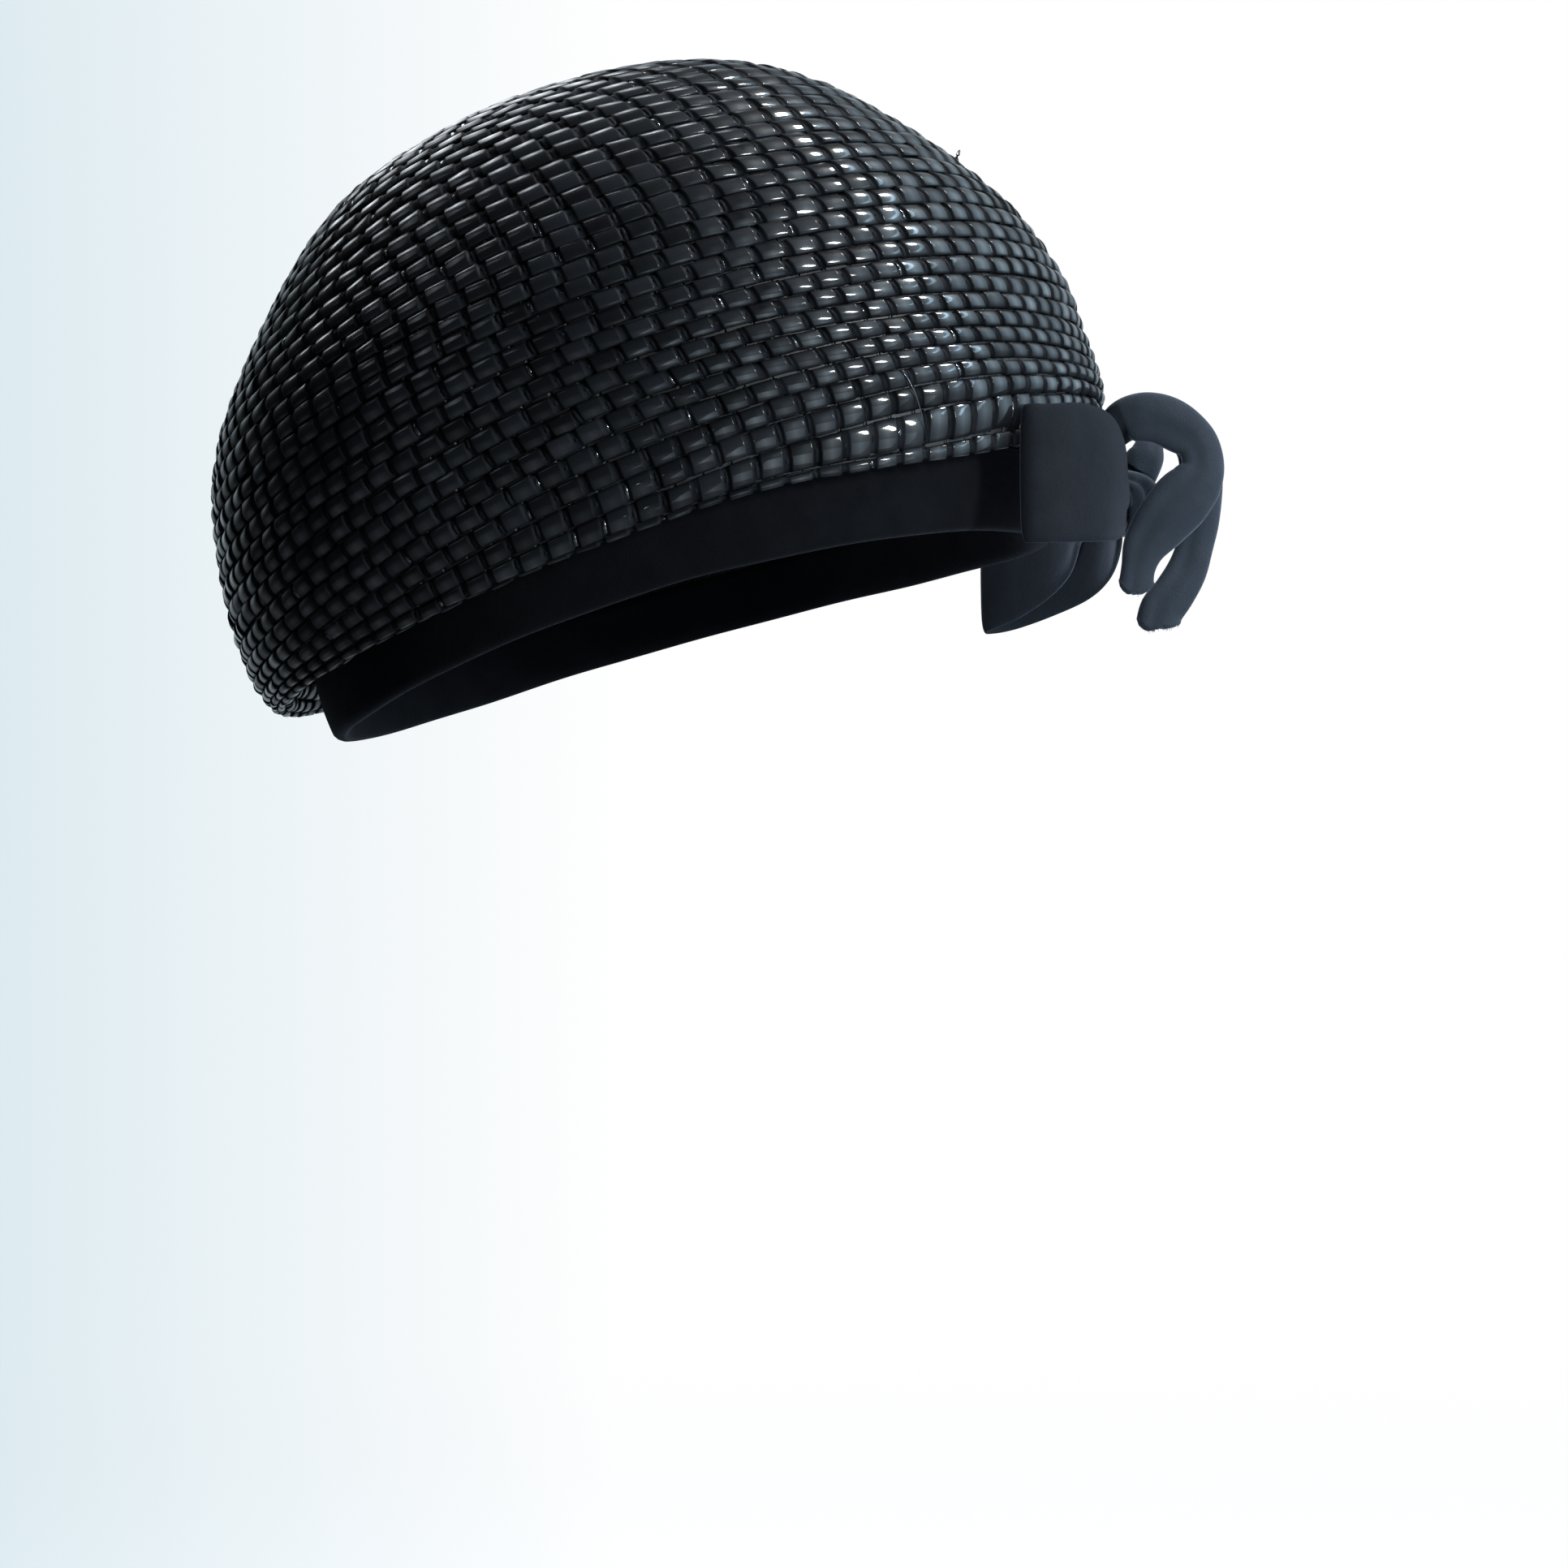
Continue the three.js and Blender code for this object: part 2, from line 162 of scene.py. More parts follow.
WARP_SECTION = ((-1, 0.5), (-0.72, 0.06), (0, 0), (0.72, 0.06), (1, 0.5), (0, 1))
# Each loose straw from its root: place up the crown, degrees round from the front, height.
LOOSE_STRAWS = (
    ((5.85, 61, -0.4), (5.6, 60.4, 0.6), (5.2, 59.7, 0.9), (4.75, 58.8, 0.9), (4.3, 57.7, 0.5)),
    ((10.0, 18, -1.2), (10.01, 18, 0.2), (10.03, 17.9, 1.4), (10.05, 17.7, 2.6)),
)
LOOSE_STRAW_RADII = (0.28, 1.2)
LOOSE_STRAW_SIDES = 6
LOOSE_STRAW_TIP = 0.2
LOOSE_STRAW_SHADE = 0.8
LOOSE_STRAW_ASKEW = np.array((0.2, 0.1, 0.3))
# The wall behind the floats: the heights of its faces, the places that it runs between, its points round
# and up, and the bricks of its relief. It also goes up behind the band, so it has more rows than courses.
GROUND_OUTSIDE = -1.5
GROUND_INSIDE = -2.5
GROUND_PLACES = (0.05, len(STRAW_ROWS) - 1.15)
GROUND_ROUND = 168
GROUND_RISE = 96
GROUND_BRICKS = 100
GROUND_ROW_GAIN = 1.1

# Velvet band, in millimetres
BAND_HEIGHT = 20.5
BAND_INNER_HEIGHT = 16
BAND_THICKNESS = 5.1
BAND_OUTER_LEAF = 1.5
BAND_INNER_LEAF = 1.2
BAND_FLOOR = 2.0
BAND_BULGE = 0.7
BAND_TOP_ROUNDING = 0.3
BAND_SWELL = 0.22
BAND_SWELL_WAVES = (3, 7, 11, 17, 23)
BAND_SWAY = 0.18
BAND_SWAY_WAVES = (2, 5, 9, 14)
BAND_ROUND = 300
BAND_OUTER_STEPS = 12
BAND_FOLD_STEPS = 8
BAND_INNER_STEPS = 6

# Bow knot, in millimetres
KNOT_HALF_WIDTH = 7
KNOT_FRONT = 120.4
KNOT_BACK = 94.2
KNOT_BOTTOM = 28
KNOT_TOP = 45.4
KNOT_PINCH = 0.86
KNOT_SQUARENESS = 2.8
KNOT_SIDES = 72
KNOT_RIDGE = 0.012
KNOT_RIDGES = 5
KNOT_RIDGE_BEND = 0.8
KNOT_RIDGE_FADE = 8
# Half of the knot's outline from one end to its middle: share of the half width, share of the full reach.
KNOT_PROFILE = (
    (1.0, 0.12), (1.0, 0.34), (0.98, 0.41), (0.92, 0.44), (0.885, 0.455), (0.895, 0.52), (0.895, 0.62),
    (0.87, 0.68), (0.81, 0.71), (0.765, 0.725), (0.775, 0.79), (0.775, 0.9), (0.74, 0.965), (0.66, 0.99),
    (0.54, 0.985), (0.4, 0.99), (0.25, 0.985), (0.12, 0.99), (0, 0.985),
)

# Stations of a bow loop, in millimetres, out from the knot, round the fold and back.
# Columns: reach to the side, forward of the origin, height of the middle, breadth, puff.
LOOP_ROWS = np.array([
    (7.5, 109.4, 35.8, 12.5, 0.4),
    (15, 108, 37, 20, 1.4),
    (27, 105.8, 38.4, 29, 1.8),
    (39, 101.2, 38.4, 33, 1.6),
    (50, 93.4, 37.6, 34.5, 1),
    (59, 85.8, 36.1, 34, 0.4),
    (62.4, 81.3, 35.7, 34, 0),
    (60.6, 80, 35.6, 33.4, 0),
    (52, 88, 36.5, 32.6, 0),
    (40, 95.4, 37.4, 30, 0),
    (27, 99.8, 37.2, 25, 0),
    (15, 101, 36.6, 17, 0),
    (7.5, 100.6, 35.8, 13, 0),
])
OUTER_LEAF_ROWS = 6
# How much painted light the ribbon's tone gets at these stations: a little out to the fold, and full on the
# way back. The ribbon's reverse gets full painted light all along.
LOOP_PAINTED_LIGHT_STATIONS = (0, 6.4, 8)
LOOP_PAINTED_LIGHT = (0.12, 0.12, 1)
LEFT_LOOP_DROOP = 10.5
LEFT_LOOP_FULLNESS = 1.03
LEFT_LOOP_BULGE = 4.5
RIBBON_THICKNESS = 2.2
RIBBON_SQUARENESS = 8
RIBBON_EDGE = 0.1
GATHER_LENGTH = 10
GATHER_DEPTH = 0.8
GATHER_FOLDS = 2.5
GATHER_START = 0.7
RIPPLE_HEIGHT = 0.35
RIPPLE_TURN = 9
LOOP_STEPS = 97
LOOP_BREADTHS = 25

# Section of the bow tails, in millimetres, and the waves along them
TAIL_WIDTH = 13
TAIL_DEPTH = 7
TAIL_SQUARENESS = 0.8
TAIL_WAVE = 0.03
TAIL_WAVE_TURN = 17
TAIL_STEPS = 131
TAIL_SIDES = 44
# Creases along a tail: depth as a share of the tail's, and place and breadth round it in radians.
TAIL_CREASES = ((0.16, 1.9, 0.3), (0.1, 4.6, 0.4))
# Stations of the bow tails, in millimetres and degrees, up from the knot, forward and down.
# Columns: reach to the side, forward of the origin, height, twist, share of the full size.
RIGHT_TAIL_ROWS = np.array([
    (4.6, 104.2, 45.75, 90, 0.56),
    (5.4, 104.8, 48.6, 90, 0.58),
    (7, 106.2, 52.4, 90, 0.64),
    (9.4, 109.6, 56.4, 90, 0.86),
    (11.2, 114, 57.5, 90, 1),
    (12, 119.2, 56.9, 90, 1),
    (12.4, 124, 54.4, 90, 0.95),
    (12.8, 128.4, 50.6, 88, 0.82),
    (13, 129.8, 45, 86, 0.86),
    (13, 128, 40.3, 86, 1.08),
    (12.8, 124.2, 35.8, 88, 1.2),
    (12.4, 119.1, 30, 88, 1.08),
    (12, 115, 24.2, 86, 0.86),
    (12, 113.2, 18.4, 84, 0.68),
    (12, 112.5, 12.4, 82, 0.74),
])
LEFT_TAIL_ROWS = np.array([
    (4.2, 114.8, 45.4, 90, 0.86),
    (4.8, 117.4, 49.6, 90, 0.72),
    (6, 118.7, 53.4, 90, 0.56),
    (8, 120.6, 57, 90, 0.7),
    (10, 124, 58.9, 90, 0.85),
    (11.6, 128.8, 57.6, 90, 0.88),
    (12.4, 132, 52.8, 90, 0.84),
    (12.8, 133, 46.4, 90, 0.84),
    (13, 133, 40, 90, 0.84),
    (13, 132.5, 33.4, 90, 0.8),
    (13, 131.1, 27, 90, 0.76),
    (12.8, 128.9, 20.6, 88, 0.8),
    (12.4, 125.5, 14.8, 86, 0.84),
    (12.1, 122.4, 10.6, 84, 0.9),
    (12, 121.3, 7.2, 84, 0.92),
])

# Outline of each tail's end: share across from the back edge to the front, and millimetres past the last row.
RIGHT_TAIL_CUT = ((-1, -0.85, -0.5, 0, 0.5, 0.85, 1), (-3, -1.5, 0, 0.5, 0.2, -1.2, -2.8))
LEFT_TAIL_CUT = (
    (-1, -0.75, -0.35, 0, 0.1, 0.2, 0.5, 0.8, 1),
    (0.2, 2, 2.8, 2, 0.3, 0.9, 0.5, -0.2, -1.4),
)
CUT_ROUGHNESS = 0.12
END_STEPS = 9
# Rings that close an end: share of its size, and millimetres past it.
END_ROUNDING = ((0.93, 0.35), (0.75, 0.6), (0.4, 0.7))
# Loose threads of an end, in millimetres. Roots are shares of the way out from the end's middle, and the
# taper is in shares of the thread's length and of its radius.
RIGHT_TAIL_FIBRES = 12
LEFT_TAIL_FIBRES = 110
FIBRE_RADIUS = 0.07
FIBRE_SIDES = 4
FIBRE_TAPER = ((0, 1), (0.5, 0.8), (1, 0.25))
FIBRE_ROOTS = (0.5, 1)
FIBRE_LENGTHS = (0.4, 1.2)
FIBRE_SPREAD = 0.35
FIBRE_DROOP = 0.12
FIBRE_ASKEW = (0.31, 0.17, 0.93)

# Signs of the wearer's two sides
RIGHT = -1
LEFT = 1


# Node and material helpers

def add_node(tree, kind, inputs=None, **settings):
    """A node with its settings, and its inputs set to a value or linked to another node's output."""
    made = tree.nodes.new(kind)
    for name, value in settings.items():
        setattr(made, name, value)
    for socket, value in (inputs or {}).items():
        if isinstance(value, bpy.types.NodeSocket):
            tree.links.new(value, made.inputs[socket])
        else:
            made.inputs[socket].default_value = value
    return made


def stored(tree, name):
    """The value that a mesh holds under this name at each point."""
    return add_node(tree, "ShaderNodeAttribute", attribute_name=name).outputs["Fac"]


def ramp(tree, value, start, end, low=0.0, high=1.0, ease="LINEAR"):
    """A value that goes from low to high as another goes from start to end."""
    made = add_node(tree, "ShaderNodeMapRange", {
        "Value": value, "From Min": start, "From Max": end, "To Min": low, "To Max": high,
    }, interpolation_type=ease)
    return made.outputs["Result"]


def mix_tones(tree, share, first, second):
    """A colour between two others."""
    made = add_node(tree, "ShaderNodeMix", {"Factor": share, "A": first, "B": second}, data_type="RGBA")
    return made.outputs["Result"]


def new_material(name):
    """An empty node material and its node tree."""
    material = bpy.data.materials.new(name)
    material.use_nodes = True
    material.node_tree.nodes.clear()
    return material, material.node_tree


def close_material(tree, shader):
    """The material's output node, fed by its shader."""
    add_node(tree, "ShaderNodeOutputMaterial", {"Surface": shader.outputs[0]})


def straw_material():
    """Lacquered black straw: each float a little lighter or duller, with fibres along the strip."""
    material, tree = new_material("straw_gloss")
    shade = stored(tree, "shade")
    gloss = stored(tree, "gloss")
    place = add_node(tree, "ShaderNodeUVMap").outputs["UV"]
    stretched = add_node(tree, "ShaderNodeMapping", {"Vector": place, "Scale": (0.35, 7, 1)})
    fibres = add_node(tree, "ShaderNodeTexNoise", {
        "Vector": stretched.outputs["Vector"], "Scale": 2.0, "Detail": 3.0, "Roughness": 0.6,
    }).outputs["Fac"]
    dullness = add_node(tree, "ShaderNodeMath", {0: fibres, 1: shade}, operation="ADD").outputs["Value"]
    rough = ramp(tree, dullness, 0.4, 1.6, low=0.24, high=0.42)
    polish = add_node(tree, "ShaderNodeMix", {"Factor": gloss, "A": 0.6, "B": rough})
    bump = add_node(tree, "ShaderNodeBump", {"Height": fibres, "Strength": 0.2, "Distance": 0.0002})
    shader = add_node(tree, "ShaderNodeBsdfPrincipled", {
        "Base Color": mix_tones(tree, shade, STRAW_DARK, STRAW_LIGHT),
        "Roughness": polish.outputs["Result"],
        "Normal": bump.outputs["Normal"],
        "Specular IOR Level": ramp(tree, gloss, 0.0, 1.0, low=0.04, high=0.14),
        "Coat Weight": gloss,
        "Coat Roughness": 0.08,
        "Coat IOR": 1.7,
    })
    close_material(tree, shader)
    return material


def ground_material():
    """The inside of the weave: duller straw with the brick bond of the courses as relief."""
    material, tree = new_material("straw_ground")
    place = add_node(tree, "ShaderNodeUVMap").outputs["UV"]
    bond = add_node(tree, "ShaderNodeTexBrick", {
        "Vector": place, "Color1": WALL_LIGHT, "Color2": WALL_DARK, "Mortar": WALL_GAP, "Scale": 1.0,
        "Mortar Size": 0.09, "Mortar Smooth": 0.8, "Brick Width": 1.0, "Row Height": 1.0,
    }, offset=0.5)
    bump = add_node(tree, "ShaderNodeBump", {
        "Height": bond.outputs["Fac"], "Strength": 0.9, "Distance": 0.0008,
    }, invert=True)
    shader = add_node(tree, "ShaderNodeBsdfPrincipled", {
        "Base Color": bond.outputs["Color"], "Roughness": 0.5, "Normal": bump.outputs["Normal"],
    })
    close_material(tree, shader)
    return material


def velvet_material():
    """Near-black velvet: short pile with crushed patches and a cool sheen, with painted light where its shade
    attribute is high.
    """
    material, tree = new_material("velvet_pile")
    painted_light = stored(tree, "shade")
    place = add_node(tree, "ShaderNodeTexCoord").outputs["Object"]
    crushed = add_node(tree, "ShaderNodeTexNoise", {
        "Vector": place, "Scale": 120.0, "Detail": 4.0, "Roughness": 0.6,
    }).outputs["Fac"]
    pile = add_node(tree, "ShaderNodeTexNoise", {
        "Vector": place, "Scale": 2600.0, "Detail": 2.0, "Roughness": 0.7,
    }).outputs["Fac"]
    # Painted light: where painted_light is 1 the velvet is painted lighter and its sheen is stronger; the
    # band has none
    dark = mix_tones(tree, painted_light, PLAIN_VELVET_DARK, PAINTED_LIGHT_VELVET_DARK)
    light = mix_tones(tree, painted_light, PLAIN_VELVET_LIGHT, PAINTED_LIGHT_VELVET_LIGHT)
    soft = add_node(tree, "ShaderNodeBump", {"Height": crushed, "Strength": 0.3, "Distance": 0.0008})
    bump = add_node(tree, "ShaderNodeBump", {
        "Height": pile, "Normal": soft.outputs["Normal"], "Strength": 0.55, "Distance": 0.0003,
    })
    shader = add_node(tree, "ShaderNodeBsdfPrincipled", {
        "Base Color": mix_tones(tree, crushed, dark, light),
        "Normal": bump.outputs["Normal"],
        "Roughness": 0.95,
        "Specular IOR Level": 0.03,
        "Sheen Weight": ramp(tree, painted_light, 0.0, 1.0, low=0.06, high=0.3),
        "Sheen Roughness": 0.4,
        "Sheen Tint": SHEEN_TINT,
    })
    close_material(tree, shader)
    return material


# Mesh helpers

def ring_quads(rings, count, looped):
    """Quads between neighbouring rings of equal counts. A looped run joins its last ring to its first."""
    ring = np.arange(rings if looped else rings - 1)[:, None] * count
    side = np.arange(count)[None, :]
    after = (ring + count) % (rings * count)
    beside = (side + 1) % count
    return np.stack((ring + side, ring + beside, after + beside, after + side), axis=-1).reshape(-1, 4)


def cap_quads(start, count):
    """Quads that close one ring, as rungs between its two halves."""
    rung = np.arange(count // 2 - 1)
    return start + np.stack((rung, rung + 1, count - 2 - rung, count - 1 - rung), axis=-1)


def skin(rings, looped=False):
    """Points and quads of one closed body through rings of equal counts."""
    many, count = rings.shape[:2]
    quads = ring_quads(many, count, looped)
    if not looped:
        first = cap_quads(0, count)
        last = cap_quads((many - 1) * count, count)
        quads = np.concatenate((quads, first[:, ::-1], last))
    return rings.reshape(-1, 3), quads


def many_bodies(runs):
    """Points and quads of many like bodies, each a run of rings."""
    bodies, many, count = runs.shape[:3]
    quads = skin(runs[0])[1]
    starts = np.arange(bodies)[:, None, None] * many * count
    return runs.reshape(-1, 3), (quads[None] + starts).reshape(-1, 4)


def facing_out(points, quads):
    """The quads, turned over where needed, so that the body's volume is positive."""
    a, b, c, d = (points[quads[:, corner]] for corner in range(4))
    volume = (np.cross(a, b) * c).sum() + (np.cross(a, c) * d).sum()
    return quads if volume > 0 else quads[:, ::-1]


def joined(bodies):
    """Many bodies as one set of points and quads."""
    starts = np.cumsum([0] + [len(points) for points, _ in bodies[:-1]])
    points = np.concatenate([points for points, _ in bodies])
    quads = np.concatenate([quads + start for start, (_, quads) in zip(starts, bodies)])
    return points, quads


def add_piece(name, points, quads, material, uv=None, shade=None, gloss=None):
    """A mesh piece of the hat, in metres. Its uv, shade and gloss hold a value for each point."""
    mesh = bpy.data.meshes.new(name)
    mesh.from_pydata(points.tolist(), [], facing_out(points, quads).tolist())
    mesh.polygons.foreach_set("use_smooth", np.ones(len(mesh.polygons), dtype=bool))
    if uv is not None:
        corners = np.empty(len(mesh.loops), dtype=np.int32)
        mesh.loops.foreach_get("vertex_index", corners)
        mesh.uv_layers.new(name="UVMap").data.foreach_set("uv", uv[corners].ravel())
    # On the straw, shade is a random tone for each float; on the velvet it is painted light
    if shade is not None:
        mesh.attributes.new("shade", "FLOAT", "POINT").data.foreach_set("value", shade)
    if gloss is not None:
        mesh.attributes.new("gloss", "FLOAT", "POINT").data.foreach_set("value", gloss)
    mesh.materials.append(material)
    mesh.update()
    piece = bpy.data.objects.new(name, mesh)
    bpy.context.scene.collection.objects.link(piece)
    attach(piece, "root")
    return piece


def unit(vectors):
    return vectors / np.maximum(np.linalg.norm(vectors, axis=-1, keepdims=True), TINY)


# Shapes shared by the straw and the band

def smooth_rows(table, places):
    """Rows of a table at fractional places, on a smooth curve through its rows."""
    last = len(table) - 1
    low = np.clip(np.floor(places).astype(int), 0, last - 1)
    part = (places - low)[..., None]
    before = table[np.maximum(low - 1, 0)]
    here = table[low]
    there = table[low + 1]
    after = table[np.minimum(low + 2, last)]
    slope = there - before
    bend = 2 * before - 5 * here + 4 * there - after
    turn = 3 * (here - there) + after - before
    return here + 0.5 * part * (slope + part * (bend + part * turn))


def oval_points(rows, angles):
    """Points of ovals, in metres. Angle 0 is the front and a quarter turn is the wearer's right side."""
    front, front_z, back, back_z, side, side_z, cheek_dip = np.moveaxis(rows, -1, 0)
    along = np.cos(angles)
    across = np.sin(angles)
    middle_z = (front_z + back_z) / 2
    dip = cheek_dip * (np.maximum(along, 0) * across) ** 2
    return MM * np.stack((
        -side * across,
        (back - front) / 2 - (front + back) / 2 * along,
        middle_z + (front_z - back_z) / 2 * along + (side_z - middle_z) * across ** 2 - dip,
    ), axis=-1)


def straw_points(places, angles):
    """Points of the straw's outer face at fractional rows of its ovals."""
    return oval_points(smooth_rows(STRAW_ROWS, places), angles)


def straw_surface(places, angles):
    """Points of the straw's outer face and its outward directions."""
    step = 0.002
    along = straw_points(places, angles + step) - straw_points(places, angles - step)
    upward = straw_points(places + step, angles) - straw_points(places - step, angles)
    return straw_points(places, angles), unit(np.cross(upward, along))


# Woven straw

def reach_table():
    """Places up the straw, and the mean length from each to the top, in millimetres."""
    places = np.linspace(FIRST_COURSE_PLACE, len(STRAW_ROWS) - 1, REACH_STEPS)
    length = np.zeros(len(places))
    for angle in QUARTER_TURNS:
        line = straw_points(places, np.full(len(places), angle))
        steps = np.linalg.norm(np.diff(line, axis=0), axis=1) / MM
        length[:-1] += steps[::-1].cumsum()[::-1] / len(QUARTER_TURNS)
    return places[::-1], length[::-1]


TOP_PLACES, TOP_REACHES = reach_table()


def weave_surface(shares, turns):
    """Points and outward directions at shares of the way to the weave's tip, which lies behind the top."""
    reach = WEAVE_LENGTH * (1 - shares)
    eased = (1 - np.cos(math.pi * shares)) / 2
    ahead = reach * np.cos(turns) - WEAVE_TIP_SHIFT * (shares + eased) / 2
    aside = reach * np.sin(turns)
    places = np.interp(np.hypot(ahead, aside), TOP_REACHES, TOP_PLACES)
    return straw_surface(places, np.arctan2(aside, ahead))


def girth(share):
    """Length round one course, in millimetres."""
    turns = np.linspace(0, FULL_TURN, GIRTH_STEPS)
    line = weave_surface(np.full(len(turns), share), turns)[0]
    return np.linalg.norm(np.diff(line, axis=0), axis=1).sum() / MM


def float_count(share):
    """How many floats go round one course. They are longer towards the tip."""
    return max(FEWEST_FLOATS, round(girth(share) / (LOWEST_FLOAT_LENGTH + FLOAT_LENGTH_GAIN * share)))


def spread(size, floats):
    """A small random amount for each float of a course."""
    return random.normal(0, size, floats)


def slow_waves(angles, waves, size):
    """A gentle closed waviness round the hat, of about the given size."""
    total = np.zeros(len(angles))
    for wave in waves:
        total += np.sin(wave * angles + random.uniform(0, FULL_TURN)) * random.uniform(*WAVE_STRENGTHS)
    return size * total / math.sqrt(len(waves))


def strip_body(lower, upper, floats, start):
    """One course: a rounded strip round the crown, nicked where its floats dive under a warp."""
    stage = np.tile(FLOAT_STATIONS, floats)
    rise = np.tile(FLOAT_RISE, floats)
    which = np.repeat(np.arange(floats), len(FLOAT_STATIONS))
    angles = (which + stage + start) / floats * FULL_TURN
    tilt = spread(TILT_SPREAD, floats)[which]
    lean = spread(LEAN_SPREAD, floats)[which] * (2 * stage - 1)
    lift = spread(LIFT_SPREAD, floats)[which]
    shift = spread(SHIFT_SPREAD, floats)[which] * rise + slow_waves(angles, COURSE_WAVES, COURSE_SWAY)
    shade = random.random(floats)[which]
    breadth = STRIP_HALF_BREADTH * (NOTCH_BREADTH + (1 - NOTCH_BREADTH) * rise)
    rings = []
    for across, fall, _ in STRIP_SECTION:
        places = (lower + upper) / 2 + (across * breadth + shift) * (upper - lower)
        points, outward = weave_surface(places, angles)
        height = CREST - STRIP_ROUNDNESS * fall - NOTCH_DEPTH * (1 - rise)
        height = height + rise * (lift + lean + tilt * across)
        rings.append(points + outward * (height * MM)[:, None])
    rings = np.stack(rings, axis=1)
    length = np.broadcast_to((which + stage)[:, None], rings.shape[:2])
    width = np.broadcast_to(np.array([across for across, _, _ in STRIP_SECTION]), rings.shape[:2])
    uv = np.stack((length, width), axis=-1).reshape(-1, 2)
    lacquer = np.array([amount for _, _, amount in STRIP_SECTION])
    shine = random.uniform(DULLEST_FLOAT, 1, floats)[which]
    shine = shine * np.clip((rise - LACQUER_FROM) / (1 - LACQUER_FROM), 0, 1)
    gloss = (shine[:, None] * lacquer).ravel()
    return skin(rings, looped=True), uv, np.repeat(shade, len(STRIP_SECTION)), gloss


def warp_bodies(lower, upper, floats, start):
    """The bits of warp that show in one course, each arched over the strip where it dives."""
    middle = (np.arange(floats) + start) / floats * FULL_TURN
    half = WARP_HALF_WIDTH / girth((lower + upper) / 2) * FULL_TURN
    places = (lower + upper) / 2 + WARP_OVERLAP * WARP_STAGES * (upper - lower)
    arch = WARP_CREST + spread(WARP_CREST_SPREAD, floats)[:, None] - WARP_FALL * (2 * WARP_STAGES) ** 2
    lean = spread(WARP_LEAN, floats)[:, None] * 2 * WARP_STAGES
    place_grid = np.broadcast_to(places, lean.shape)
    rings = []
    for side, below in WARP_SECTION:
        points, outward = weave_surface(place_grid, middle[:, None] + half * (side + lean))
        rings.append(points + outward * ((arch - below) * MM)[..., None])
    return many_bodies(np.stack(rings, axis=2))


def build_straw(material):
    """The courses as three pieces, and the warps that show between their floats."""
    rank = LAST_COURSE_SHARE * (np.arange(COURSES + 1) - LOW_COURSES) / (COURSES - LOW_COURSES)
    edges = rank - COURSE_GROWTH * rank * (1 - rank)
    strips = []
    warps = []
    for course, (lower, upper) in enumerate(zip(edges[:-1], edges[1:])):
        floats = float_count((lower + upper) / 2)
        start = COURSE_OFFSET * (course - LOW_COURSES)
        strips.append(strip_body(lower, upper, floats, start))
        warps.append(warp_bodies(lower, upper, floats, start))
    for name, first, after in zip(STRAW_PIECES, STRAW_CUTS[:-1], STRAW_CUTS[1:]):
        run = strips[first:after]
        points, quads = joined([strip[0] for strip in run])
        uv, shade, gloss = (np.concatenate([strip[column] for strip in run]) for column in (1, 2, 3))
        add_piece(name, points, quads, material, uv, shade, gloss)
    points, quads = joined(warps)
    warp_points = len(WARP_STAGES) * len(WARP_SECTION)
    count = len(points) // warp_points
    shade = random.random(count).repeat(warp_points)
    gloss = (random.random(count) < GLOSSY_WARPS).astype(float).repeat(warp_points)
    add_piece("straw_warps", points, quads, material, np.zeros((len(points), 2)), shade, gloss)


def build_loose_straws(material):
    """Two straw ends that have worked loose: one lying across the courses and one standing on the front."""
    turn = np.arange(LOOSE_STRAW_SIDES)[:, None] / LOOSE_STRAW_SIDES * FULL_TURN
    bodies = []
    for table, radius in zip(LOOSE_STRAWS, LOOSE_STRAW_RADII):
        places, degrees, heights = np.array(table).T
        points, outward = straw_surface(places, np.radians(degrees))
        middle = points + outward * (heights * MM)[:, None]
        line = unit(np.gradient(middle, axis=0))
        side = unit(np.cross(line, outward[0] + LOOSE_STRAW_ASKEW))
        other = np.cross(line, side)
        spokes = np.cos(turn) * side[:, None, :] + np.sin(turn) * other[:, None, :]
        taper = np.linspace(1, LOOSE_STRAW_TIP, len(middle))[:, None, None]
        bodies.append(skin(middle[:, None, :] + spokes * taper * radius * MM))
    points, quads = joined([(body[0], facing_out(*body)) for body in bodies])
    shade = np.full(len(points), LOOSE_STRAW_SHADE)
    add_piece("straw_loose_ends", points, quads, material, np.zeros((len(points), 2)), shade, shade)


def build_ground(material):
    """The wall behind the floats, from the bound edge to the tip, with the weave on its inside."""
    places = np.linspace(*GROUND_PLACES, GROUND_RISE)
    angles = np.arange(GROUND_ROUND) / GROUND_ROUND * FULL_TURN
    place_grid, angle_grid = np.meshgrid(places, angles, indexing="ij")
    points, outward = straw_surface(place_grid, angle_grid)
    inner = points + outward * GROUND_INSIDE * MM
    outer = points + outward * GROUND_OUTSIDE * MM
    rings = np.concatenate((inner[::-1], outer))
    body, quads = skin(rings)
    bricks = angle_grid / FULL_TURN * GROUND_BRICKS
    rows = place_grid / len(STRAW_ROWS) * COURSES * GROUND_ROW_GAIN
    uv = np.stack((bricks, rows), axis=-1)
    uv = np.concatenate((uv[::-1], uv)).reshape(-1, 2)
    return add_piece("straw_ground", body, quads, material, uv)


# Velvet band

